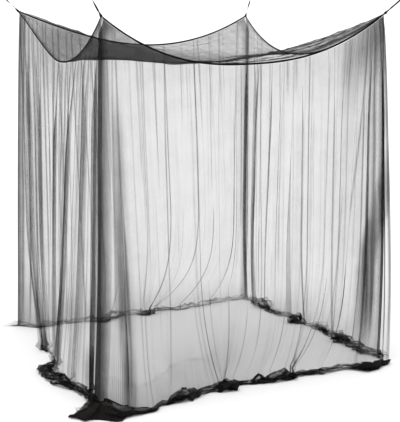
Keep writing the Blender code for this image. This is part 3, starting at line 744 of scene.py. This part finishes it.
def zinc_material():
    """Bright zinc plating with a fine grain."""
    look = new_look("bright_zinc", ZINC, 0.3, 0.5)
    look.shader.inputs["Metallic"].default_value = 1.0
    place = look.nodes.new("ShaderNodeTexCoord")
    grain = noise_texture(look, place.outputs["Object"], ZINC_GRAIN, 5)
    rough = calculated(look, "MULTIPLY_ADD", grain, *ZINC_ROUGH)
    look.links.new(rough, look.shader.inputs["Roughness"])
    tint(look, grain, *ZINC_TINTS)
    bump(look, grain, 0.15, 0.0002)
    return look.material


# ---- The layers of cloth in a wall ----
FILL_MARGIN = 0.02  # no finer pleat stands nearer to its wall's start
PLEAT_EASE = (0.12, 0.20)  # the v over which a pleat comes in at its top and goes out at its bottom
PLEAT_WANDER = 0.45  # these four are shares of a pleat's half width
PLEAT_RISE = 1.3
LEAST_CURL, MOST_CURL = 0.30, 0.9
LAYER_CURL = 0.06  # each layer's share in the curl
VEIL_EASE = (0.14, 0.22)
VEIL_STRAIGHT = 0.72  # below this v a veil hangs straight
VEIL_STREAK = 0.006
LOW_LONG = 0.22  # the v that a wall's foot takes to gather
THINNER_FROM, THINNER_LONG = 0.60, 0.15  # the v where a wall thins out, and over how much of it
TOP_LONG = 0.20  # the v down to which the tape gathers the cloth
HEM_END, HEM_FADE = 0.45, 0.25  # the q where the turned hem begins to end, and how long it takes
HEM_HALF = 0.004
HEM_LINE_LAYERS = 2.5
HEM_LAYERS = 1.2
SELVEDGE_HALF = 0.020


def layers_at(gathered, v):
    return gathered.dark + (gathered.foot_dark - gathered.dark) * v


def seen_at(fold, v, ease):
    """How far a pleat or veil shows at v: from 0 before its top to 1, and back to 0 past its bottom."""
    return smooth((v - fold.top) / ease[0] + 0.5) * smooth((fold.bottom - v) / ease[1] + 0.5)


def followed(q, s, middle):
    """For each row, where the cloth from the edge's place in middle stands."""
    return np.array([np.interp(here, q, row) for here, row in zip(middle[:, 0], s)])[:, None]


def filling_pleats(side):
    """The finer pleats, kept away from those listed in PLEATS."""
    fill = FILLS[side]
    draw = np.random.default_rng(fill.seed)
    placed = [pleat.q for pleat in PLEATS[side]]
    made = []
    q = FILL_MARGIN
    while q < LINES[side].span - FILL_MARGIN:
        q += fill.spacing * draw.uniform(0.5, 1.5)
        size = draw.uniform(0.7, 1.3)
        dark, foot_dark = fill.dark * draw.uniform(0.3, 1.7, 2)
        top, bottom = sorted(draw.uniform(-0.4, 1.4, 2))
        if min(abs(q - other) for other in placed) > 1.6 * fill.half:
            made.append(Pleat(q, fill.half * size, dark, foot_dark, top, bottom))
    return made


def pleated(side, q, v, s, outward):
    """Raises a fold at each pleat; returns the new s and outward, and the layers of cloth drawn up in it."""
    drawn = np.zeros_like(s)
    new_s = s
    seed = FILLS[side].seed
    for k, pleat in enumerate((*PLEATS[side], *filling_pleats(side))):
        wander = PLEAT_WANDER * pleat.half * noise(v * 5, k + 0.5, seed)
        middle = pleat.q + pleat.lean * v + wander
        layers = layers_at(pleat, v)
        seen = seen_at(pleat, v, PLEAT_EASE) * (0.85 + 0.4 * noise(v * 6 + k, k + 0.5, seed + 1))
        t = (q[None, :] - middle) / pleat.half
        shape = np.exp(-t * t / 2) * seen * smooth(v / 0.05)
        curl = np.minimum(MOST_CURL, LEAST_CURL + LAYER_CURL * layers)
        new_s = new_s - curl * pleat.half * t * shape
        outward = outward + (0.7 + 0.35 * t) * PLEAT_RISE * pleat.half * curl * shape
        off = (s - followed(q, s, middle)) / pleat.half
        drawn = drawn + layers * seen * np.exp(-off * off)
    return new_s, outward, drawn


def veiled(side, q, s, v):
    """The layers of cloth in the wall's veils."""
    total = np.zeros_like(s)
    streaks = 0.5 + 1.1 * np.abs(noise(q[None, :] / VEIL_STREAK, v * 3, FILLS[side].seed + 12))
    for veil in VEILS[side]:
        middle = veil.q + veil.lean * np.minimum(0.0, v - VEIL_STRAIGHT)
        off = (s - followed(q, s, middle)) / veil.half
        total = total + layers_at(veil, v) * seen_at(veil, v, VEIL_EASE) * np.exp(-(off**4))
    return total * streaks


def bunched(side, s, v):
    """The layers of cloth bunched towards the wall's ends."""
    total = 0.0
    for away, gathers in zip((s - s[:, :1], s[:, -1:] - s), GATHERS[side]):
        for gather in gathers:
            total = total + layers_at(gather, v) * np.exp(-((away / gather.reach) ** 4))
    return total


def hem_turn(q, v):
    """The front wall's hem, turned up double near the left corner: its edge shows as a line."""
    edge = table_at(HEM_EDGE, q)[0][None, :]
    shown = 1 - smooth((q[None, :] - HEM_END) / HEM_FADE)
    line = HEM_LINE_LAYERS * np.exp(-(((v - edge) / HEM_HALF) ** 2))
    return shown * (line + HEM_LAYERS * smooth((v - edge) / 0.01))


def drawn_round(side, q, v):
    """How far the cloth's edges move past the wall's ends, below the corner loops."""
    first, last = SELVEDGES[side]
    held = smooth((v + 0.005) / 0.05)
    near_start = np.exp(-(((q - q[0]) / SELVEDGE_HALF) ** 2))
    near_end = np.exp(-(((q[-1] - q) / SELVEDGE_HALF) ** 2))
    return held * (last * near_end - first * near_start)[None, :]


def row_density(q, s, outward):
    """How much cloth stands before each millimetre of the wall."""
    cloth = np.gradient(q)[None, :]
    across = np.gradient(s, axis=1)
    arc = np.hypot(across, np.gradient(outward, axis=1))
    dense = np.maximum(cloth, arc) / np.maximum(np.abs(across), cloth / DENSEST)
    return 1 + SHOWN * (np.clip(dense, 0.8, DENSEST) - 1)


def low_share(side, v):
    return smooth((v - LOW_FROM[side]) / LOW_LONG)


def folds_shown(side, q, v, s, outward, drawn):
    """The layers in the wall's folds, of which only a share stays at its foot, and in its veils."""
    kept = table_at(FOOT_FULLNESS[side], q)[1]
    folds = np.maximum(row_density(q, s, outward) - 1, drawn) * (1 - low_share(side, v) * (1 - kept))
    return folds + veiled(side, q, s, v)


def wall_density(side, q, v, s, folds):
    """All the layers of the hanging cloth."""
    spread = 1 - SPREAD[side] * smooth((v - THINNER_FROM) / THINNER_LONG)
    at_top = table_at(TOP_FULLNESS[side], q)[0] * (1 - smooth(v / TOP_LONG))
    at_foot = table_at(FOOT_FULLNESS[side], q)[0] * low_share(side, v)
    density = table_at(FULLNESS[side], q)[0] * spread + at_top + at_foot + folds + bunched(side, s, v)
    if side == "front":
        density = density + hem_turn(q, v)
    return density


# ---- Walls ----
# What a pile takes over from the wall's lowest hanging row, and its own inner line, reach and height
Foot = namedtuple("Foot", "s outward depth density line reach height")


def hung_rows():
    """The v of each hanging row, closer towards the foot, as a column."""
    even = np.linspace(0, 1, HANG_ROWS)
    return (0.30 * even + 0.70 * np.sin(math.pi / 2 * even) ** 1.3)[:, None]


def main_folds(side, v):
    """Even places q along the edge, and s and the folds' depth for them in each row."""
    tops = wall_columns(side, 0.0)[:, 0]
    q = np.linspace(tops[0], tops[-1], WALL_COLUMNS)
    columns = [wall_columns(side, row_v) for row_v in v[:, 0]]
    s = np.array([np.interp(q, tops, row[:, 0]) for row in columns])
    depth = np.array([eased(q, tops, row[:, 1]) for row in columns])
    return q, s, depth


def pile_shape(side, s):
    """The pile's inner line, reach and height, slumped since the cloth was let go."""
    line, reach, height = table_at(PILES[side], s)
    moved, pressed = table_at(SLUMPS[side], s)
    return line + moved, reach - moved, height * pressed


def bent(side, q, v):
    """How far the folds curve along the wall as they near the floor."""
    pulled = np.maximum(0.0, (v - BEND_FROM) / (1 - BEND_FROM)) ** 3
    return table_at(BENDS[side], q)[0] * pulled


def wall(side, net):
    v = hung_rows()
    q, s, depth = main_folds(side, v)
    line, reach, height = pile_shape(side, s[-1])
    outward = line * v + depth * smooth(v / FOLD_FULL)
    hung_from = edge_z(side, q) - BINDING_TALL / 2 - HANG_GAP
    z = hung_from + (height + FOOT_LIFT - hung_from) * v
    s = s + bent(side, q, v)
    s, outward, drawn = pleated(side, q, v, s, outward)
    folds = folds_shown(side, q, v, s, outward, drawn)
    s = s + drawn_round(side, q, v)
    density = wall_density(side, q, v, s, folds)
    hanging = places_on(side, s, outward, z)
    foot = Foot(s[-1], outward[-1], depth[-1], density[-1], line, reach, height)
    lying, pile_density = pile(side, foot)
    cloth = wall_cloth(q, v * hung_from[None, :], hanging, lying)
    points = np.concatenate([hanging, lying])
    mesh = grid_mesh("net_wall_" + side, points, cloth, np.concatenate([density, pile_density]))
    return add_piece(mesh, net, "wall_" + side)


def wall_cloth(q, down, hanging, lying):
    """Each point's place in the cloth: along the edge, and down from it, through the pile too."""
    steps = np.linalg.norm(np.diff(lying, axis=0, prepend=hanging[-1:]), axis=2)
    down = np.concatenate([down, down[-1] + np.cumsum(steps, axis=0)])
    return np.stack([np.broadcast_to(q, down.shape), down], axis=-1)


# ---- Piles ----
# A pile's crumples: noise that changes once each pitch along the wall and turns times over the pile's
# rows, drawn from the side's seed plus its own; size is in metres, or a share where that is said
Crumple = namedtuple("Crumple", "pitch turns seed size")
WIDE = Crumple(0.07, 7, 2, 0.018)
FINE = Crumple(0.026, 16, 3, 0.011)
FINEST = Crumple(0.012, 30, 4, 0.004)
UPWARD = Crumple(0.06, 8, 5, 0.014)
ALONG = Crumple(0.05, 9, 6, 0.016)
ALONG_FINE = Crumple(0.02, 14, 7, 0.006)
STRANDS = Crumple(0.16, 26, 8, 5.5)  # dark strands: size is a share of the body's layers
LUMPS = Crumple(0.045, 5, 9, 0.16)  # size is a share of the reach
HEAPS = Crumple(0.038, 4, 10, 0.45)  # size is a share of the height
FINE_RISE = 0.009
FINEST_RISE = 0.003
FULL_REACH = 0.10  # crumples are smaller in a pile of less reach
ON_FLOOR = 0.0015  # the cloth's lowest height, and how much more its finest crumples add
ROPE_AT = 0.12  # the rope lies at this share of the reach
ROPE_WANDER = 0.10
ROPE_HALF = 0.13
LEAST_LAYERS = 0.5
MOST_LAYERS = 60


def crumple(side, kind, s, row, slant=0.0, shift=0.0):
    """Noise of that kind over the pile, slanted along the wall and shifted down its rows."""
    return noise(s / kind.pitch + slant, row * kind.turns + shift, FILLS[side].seed + kind.seed)


def heaped(side, foot, out_share, up_share):
    """The pile before it is crumpled: its places along the wall, outward and up."""
    s = foot.s
    first, last = ENDS[side]
    spill = first.spill * (1 - smooth((s - s[0]) / SPILL_REACH))
    spill = spill + (last.spill - SHORT[side]) * (1 - smooth((s[-1] - s) / SPILL_REACH))
    lump = 1 + LUMP * np.maximum(0.0, foot.depth) / FULL_DEPTH
    out = foot.line + foot.reach * out_share * lump + foot.depth * FOOT_FOLD * (1 - out_share)
    up = np.maximum(0.0, foot.height * up_share * lump)
    along = s + spill * out_share * (1 - up_share / 2)
    return along, out, up


def pile(side, foot):
    """The wall's foot: out along the floor, back over itself and in under, crumpled as it goes."""
    s = foot.s
    section = catmull([SECTION_START, *PILE_SECTION, *INNER_SECTION], PILE_ROWS + 1)[1:]
    out_share, up_share = section[:, :1], section[:, 1:]
    row = np.arange(PILE_ROWS)[:, None] / PILE_ROWS
    along, out, up = heaped(side, foot, out_share, up_share)
    settle = smooth(row * 5)
    size = np.minimum(1.0, foot.reach / FULL_REACH)
    wide = crumple(side, WIDE, s, row, 9 * out_share)
    fine = crumple(side, FINE, s, row, -5 * out_share)
    finest = crumple(side, FINEST, s, row)
    lumps = LUMPS.size * foot.reach * crumple(side, LUMPS, s, row, 2 * row)
    up = up * (1 + HEAPS.size * settle * crumple(side, HEAPS, s, row))
    out = out + settle * (size * (WIDE.size * wide + FINE.size * fine + FINEST.size * finest) + lumps)
    rise = UPWARD.size * crumple(side, UPWARD, s, row) + FINE_RISE * (1 - 2 * np.abs(fine))
    rise = rise + FINEST_RISE * finest
    up = np.maximum(ON_FLOOR + ON_FLOOR * np.abs(finest), up + settle * size * rise)
    shift = ALONG.size * crumple(side, ALONG, s, row) + ALONG_FINE.size * crumple(side, ALONG_FINE, s, row)
    along = along + settle * size * shift
    blend = smooth(row * 6)
    out = out + (foot.outward - foot.line) * (1 - blend)
    dark = pile_layers(side, s, row, out_share, wide, fine)
    density = foot.density * (1 - blend) + np.clip(dark, LEAST_LAYERS, MOST_LAYERS) * blend
    return places_on(side, along, out, up), density


def pile_layers(side, s, row, out_share, wide, fine):
    """Dark strands over the pile's body, and the rope where the wall drops into it."""
    rope, body = table_at(BODIES[side], s)
    ridge = np.exp(-(((out_share - ROPE_AT - ROPE_WANDER * wide) / ROPE_HALF) ** 2))
    strands = np.maximum(0.0, crumple(side, STRANDS, s, row, 3 * row, 2 * wide)) ** 2
    dark = body * (0.12 + STRANDS.size * strands) + (rope - body) * ridge * (0.6 + 0.9 * fine)
    return dark * (1 + 0.9 * wide)


# ---- Roof ----
# A place on the roof is across and back, each from -1 to 1. The lengths here are in that measure too,
# unless they are said to be metres
STATION_SHARE = 0.9  # nearer to 1, the roof's rows and columns crowd more at its edges
LEFT_LIFT = 0.025  # metres by which the roof's left part hangs tauter than the CAD sheet's
ROOF_LAYERS = 15.0
# Three corners where they are fewer: by how many, which way across and back, from where and over what share
THIN_CORNERS = ((9.5, 1, 1, 0.35, 0.7), (6.5, -1, -1, 0.9, 0.7), (9.0, -1, 1, 1.2, 0.6))
FAN_REACH = 0.90  # the cloth fans out that far from the front right corner, then fades over FAN_FADE
FAN_FADE = 0.5
FAN_THINNER = 0.66
RAY_LAYERS = 44
RIDGE_LAYERS = 34
RIDGE_HALF = 0.19
TAPE_TURN = 0.60  # round that corner from the front edge, in radians, to the crease of a slack tape
TAPE_TURN_HALF = 0.035
TAPE_LAYERS = 34
# The roof's crinkles: how high and their pitch along X and Y, in metres, and a seed
CRINKLES = ((0.0025, 0.60, 0.016, 61), (0.003, 0.06, 0.50, 62), (0.006, 0.12, 0.12, 63))
PACKED_PITCH = (0.095, 0.115)  # metres between the creases that a folded net keeps, along X and Y
PACKED_HALF = 0.011  # metres
PACKED_LAYERS = 1.3
PACKED_RISE = 0.003  # metres
EDGE_HALF = 0.02  # how far in from the seam the cloth looks doubled


def roof_corner(name):
    inset = BINDING_THICK / 2 + GAP
    place = corner_at(name)
    for side, edge in EDGES.items():
        if name in (edge.start, edge.end):
            place -= LINES[side].outward * inset
    return np.array(place)


def stations(count):
    """Places from -1 to 1 that stand closer towards the edges."""
    quarter = math.pi / 2 * STATION_SHARE
    return np.sin(quarter * np.linspace(-1, 1, count)) / math.sin(quarter)


def roof_plan(across, back):
    """The level places x and y at those shares of the roof, from -1 to 1."""
    a, b = (1 + across)[..., None] / 2, (1 + back)[..., None] / 2
    front = roof_corner("front_left") * (1 - a) + roof_corner("front_right") * a
    behind = roof_corner("back_left") * (1 - a) + roof_corner("back_right") * a
    flat = front * (1 - b) + behind * b
    return flat[..., 0], flat[..., 1]


def roof_height(x, y, across, back):
    total = 0.0
    weights = 0.0
    summed = 0.0
    shares = {"front": 1 - back, "back": 1 + back, "left": 1 - across, "right": 1 + across}
    for side, line in LINES.items():
        off_x, off_y = x - line.start.x, y - line.start.y
        s = off_x * line.along.x + off_y * line.along.y
        away = np.abs(off_x * line.outward.x + off_y * line.outward.y)
        total = total + edge_z(side, s) / away**2
        weights = weights + 1 / away**2
        summed = summed - (CORNER_Z - edge_z(side, s)) * shares[side] / 2
    belly = ROOF_BELLY * (1 - across**2) * (1 - back**2) * (1 - across) * (1 + back)
    return (1 - ROOF_SLACK) * total / weights + ROOF_SLACK * (CORNER_Z + summed) - belly


def roof_detail(x, y, across, back, creases):
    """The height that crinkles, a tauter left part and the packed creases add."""
    inside = smooth((1 - np.abs(across)) / 0.10) * smooth((1 - np.abs(back)) / 0.10)
    crinkle = sum(rise * noise(x / wide, y / deep, seed) for rise, wide, deep, seed in CRINKLES)
    taut = smooth((1 + across) / 0.14) * (1 - smooth((across + 0.60) / 0.60)) * (1 - back**2)
    return inside * crinkle + LEFT_LIFT * taut + PACKED_RISE * sum(creases) * inside


def packed_creases(x, y):
    """From 0 to 1, how near each place is to a crease along X and to one along Y."""
    wander = 0.006 * noise(x / 0.3, y / 0.3, 64)
    made = []
    for place, pitch in zip((x, y), PACKED_PITCH):
        off = np.abs((place + wander) / pitch - np.round((place + wander) / pitch)) * pitch
        made.append(np.exp(-((off / PACKED_HALF) ** 2)))
    return made


def corner_layers(across, back):
    """The roof's usual layers, which are fewer towards three of its corners."""
    layers = ROOF_LAYERS
    for fewer, to_across, to_back, start, over in THIN_CORNERS:
        layers = layers - fewer * smooth((to_across * across + to_back * back - start) / over)
    return layers


def ridge_layers(across, back):
    """A ridge of gathered strands behind the front edge, which runs back as it nears the right."""
    off = back - (-0.38 + 0.62 * (across - 0.15))
    seen = smooth((across + 0.20) / 0.6) * smooth((1.0 - across) / 0.1)
    strands = 0.35 + 1.9 * np.abs(noise(off / 0.035, across * 3, 66))
    return seen * strands * RIDGE_LAYERS * np.exp(-((off / RIDGE_HALF) ** 2))


def roof_layers(across, back, creases):
    """The roof's layers of cloth: corners, a fan of rays from the front right, a ridge, creases and edges."""
    away = np.hypot(1 - across, 1 + back)
    turn = np.arctan2(1 + back, 1 - across)
    drawn = 1 - smooth((away - FAN_REACH) / FAN_FADE)
    rays = np.maximum(0.0, noise(turn / 0.05, away * 1.5, 65) - 0.10) ** 1.5
    off_turn = (turn - TAPE_TURN) / TAPE_TURN_HALF
    slack_tape = np.exp(-(off_turn**2)) * smooth(away / 0.1) * (1 - smooth((away - 0.55) / 0.5))
    density = corner_layers(across, back) * (1 - FAN_THINNER * drawn) + drawn * RAY_LAYERS * rays
    density = density + ridge_layers(across, back) + TAPE_LAYERS * slack_tape
    density = density + PACKED_LAYERS * sum(creases)
    from_edge = 1 - np.maximum(np.abs(across), np.abs(back))
    return density * (1 + np.exp(-((from_edge / EDGE_HALF) ** 2)))


def roof(net):
    across, back = np.meshgrid(stations(ROOF_COLUMNS), stations(ROOF_ROWS))
    x, y = roof_plan(across, back)
    creases = packed_creases(x, y)
    z = roof_height(x, y, across, back) + roof_detail(x, y, across, back, creases)
    density = roof_layers(across, back, creases)
    mesh = grid_mesh("net_roof", np.stack([x, y, z], axis=-1), np.stack([x, y], axis=-1), density)
    return add_piece(mesh, net, "roof_net")


# ---- Bindings ----
TAPE_TALL = 0.0115
TAPE_COLUMNS = 260
TAPE_RING = 14


def round_angles(count):
    return np.linspace(0, 2 * math.pi, count + 1)[:-1]


def ring_about(middle, first, across, second, through):
    """Points round a path's middle, at those distances along two directions."""
    return np.array(middle) + np.outer(across, first) + np.outer(through, second)


def swept(name, path, rings, cloth_width):
    """A closed tube through a path: rings holds, for each of its stations, the ring's points."""
    rings = np.array(rings)
    rings = np.concatenate([rings, rings[:, :1]], axis=1)
    along = np.concatenate([[0], np.cumsum(np.linalg.norm(np.diff(path, axis=0), axis=1))])
    round_it = np.linspace(0, cloth_width, rings.shape[1])
    cloth = np.stack(np.meshgrid(round_it, along), axis=-1)
    return grid_mesh(name, rings, cloth)


def squared(wave, power):
    """A sine or cosine with its round tops flattened."""
    return np.sign(wave) * np.abs(wave) ** power


def binding(side, tape):
    """The seam's tape, a rounded oblong that ripples a little along the edge."""
    clear = LOOP_RADIUS + GAP
    s = np.linspace(clear, LINES[side].span - clear, TAPE_COLUMNS)
    seed = FILLS[side].seed + 7
    middle = edge_z(side, s)
    half_tall = TAPE_TALL / 2 * (1 + 0.05 * noise(s / 0.09, 0.5, seed))
    angles = round_angles(TAPE_RING)
    rings = []
    for k, here in enumerate(s):
        ripple = 0.0004 * math.sin(here / 0.0032) + 0.0005 * noise(here / 0.04, 0.5, seed + 1)
        out = BINDING_THICK / 2 * squared(np.cos(angles), 0.6) + ripple
        up = half_tall[k] * squared(np.sin(angles), 0.55)
        rings.append(places_on(side, here, out, middle[k] + up))
    path = places_on(side, s, 0.0, middle)
    mesh = swept("edge_tape_" + side, path, rings, 2 * BINDING_TALL)
    return add_piece(mesh, tape, "binding_" + side)


# ---- Corner loops, cords and hooks ----
TIE_BACK = 0.008  # the tie begins that far before the corner
TIE_STATIONS = 46
TIE_RING = 32
TIE_BULGE = 0.0078
TIE_NECK = 0.0046
TIE_TURN = 0.0007  # how far each turn of the tape stands out of the neck
TIE_FLUTES = 7
RIBBON_WIDE = 0.010
RIBBON_THICK = 0.0012
RIBBON_TURNS = {"front_left": 1.5, "front_right": 0.2, "back_right": 1.5, "back_left": 1.5}
RIBBON_PHASE = {"front_left": 0.25, "front_right": 0.42, "back_right": 0.6, "back_left": 0.0}
RIBBON_STATIONS = 60
RIBBON_RING = 16


def frame_about(direction):
    """Two directions across the given one: the first is level."""
    side = Vector((0, 0, 1)).cross(direction).normalized()
    return side, direction.cross(side).normalized()


def tie_radii(place, angles):
    """The radius round the corner's tie: a fluted bulge of gathered cloth, then a neck wound with tape."""
    t = (place + TIE_BACK) / (LOOP_LONG + TIE_BACK)
    bulge = TIE_BULGE * math.sqrt(max(0.0, 1 - ((t - 0.30) / 0.34) ** 2)) if t < 0.6 else 0.0
    neck = TIE_NECK + TIE_TURN * math.sin(place / 0.0006)
    flute = 1 + 0.10 * np.cos(TIE_FLUTES * angles + 14 * t) * (bulge > neck)
    return max(bulge, neck * smooth(t * 8)) * flute


def corner_loop(name, tape):
    """The gathered corner, tied off with turns of tape into a neck for the cord."""
    direction = cord_direction(name)
    side, rise = frame_about(direction)
    angles = round_angles(TIE_RING)
    rings = []
    path = []
    for place in np.linspace(-TIE_BACK, LOOP_LONG, TIE_STATIONS):
        middle = corner_at(name) + direction * place
        radii = tie_radii(place, angles)
        rings.append(ring_about(middle, side, radii * np.cos(angles), rise, radii * np.sin(angles)))
        path.append(tuple(middle))
    mesh = swept("corner_tie_" + name, np.array(path), rings, 0.05)
    return add_piece(mesh, tape, "corner_loop_" + name)


def ribbon_ring(name, point, t, side, rise):
    """The ribbon's flat section at t of its way, turned as it twists and narrower at its ends."""
    turn = math.pi * (RIBBON_TURNS[name] * smooth((t - 0.05) / 0.9) + RIBBON_PHASE[name])
    wide = side * math.cos(turn) + rise * math.sin(turn)
    thin = rise * math.cos(turn) - side * math.sin(turn)
    narrow = 0.55 + 0.45 * float(smooth(t / 0.08) * smooth((1 - t) / 0.06))
    angles = round_angles(RIBBON_RING)
    across = RIBBON_WIDE / 2 * narrow * np.cos(angles)
    through = RIBBON_THICK / 2 * np.sin(angles) * (1.6 - 0.6 * narrow)
    return ring_about(point, wide, across, thin, through)


def cord(name, braid):
    """The flat ribbon cord, twisted along its way from the corner to the hook."""
    direction = cord_direction(name)
    side, rise = frame_about(direction)
    start = corner_at(name) + direction * (LOOP_LONG + GAP)
    end = hook_bottom(name) - direction * CORD_STANDOFF
    path = []
    rings = []
    for k in range(RIBBON_STATIONS):
        t = k / (RIBBON_STATIONS - 1)
        point = start.lerp(end, t)
        point.z -= CORD_SAG * 4 * t * (1 - t)
        rings.append(ribbon_ring(name, point, t, side, rise))
        path.append(tuple(point))
    mesh = swept("ribbon_" + name, np.array(path), rings, 2 * RIBBON_WIDE)
    made = add_piece(mesh, braid, "cord_" + name)
    return made


def zinc_fittings(zinc):
    for name in CORNERS:
        for node in ("hook_" + name, "ceiling_plate_" + name):
            fitting = bpy.data.objects[node]
            fitting.data.materials.clear()
            fitting.data.materials.append(zinc)


set_view()
add_camera()
add_light()
add_floor()
net = net_material()
tape = tape_material("binding_tape", TAPE_BLACK, TAPE_TWILL)
braid = tape_material("ribbon_black", RIBBON_BLACK, RIBBON_TWILL)
for name in CORNERS:
    corner_loop(name, tape)
    cord(name, braid)
zinc_fittings(zinc_material())
for side in EDGES:
    panel = wall(side, net)
    binding(side, tape)
roof(net)
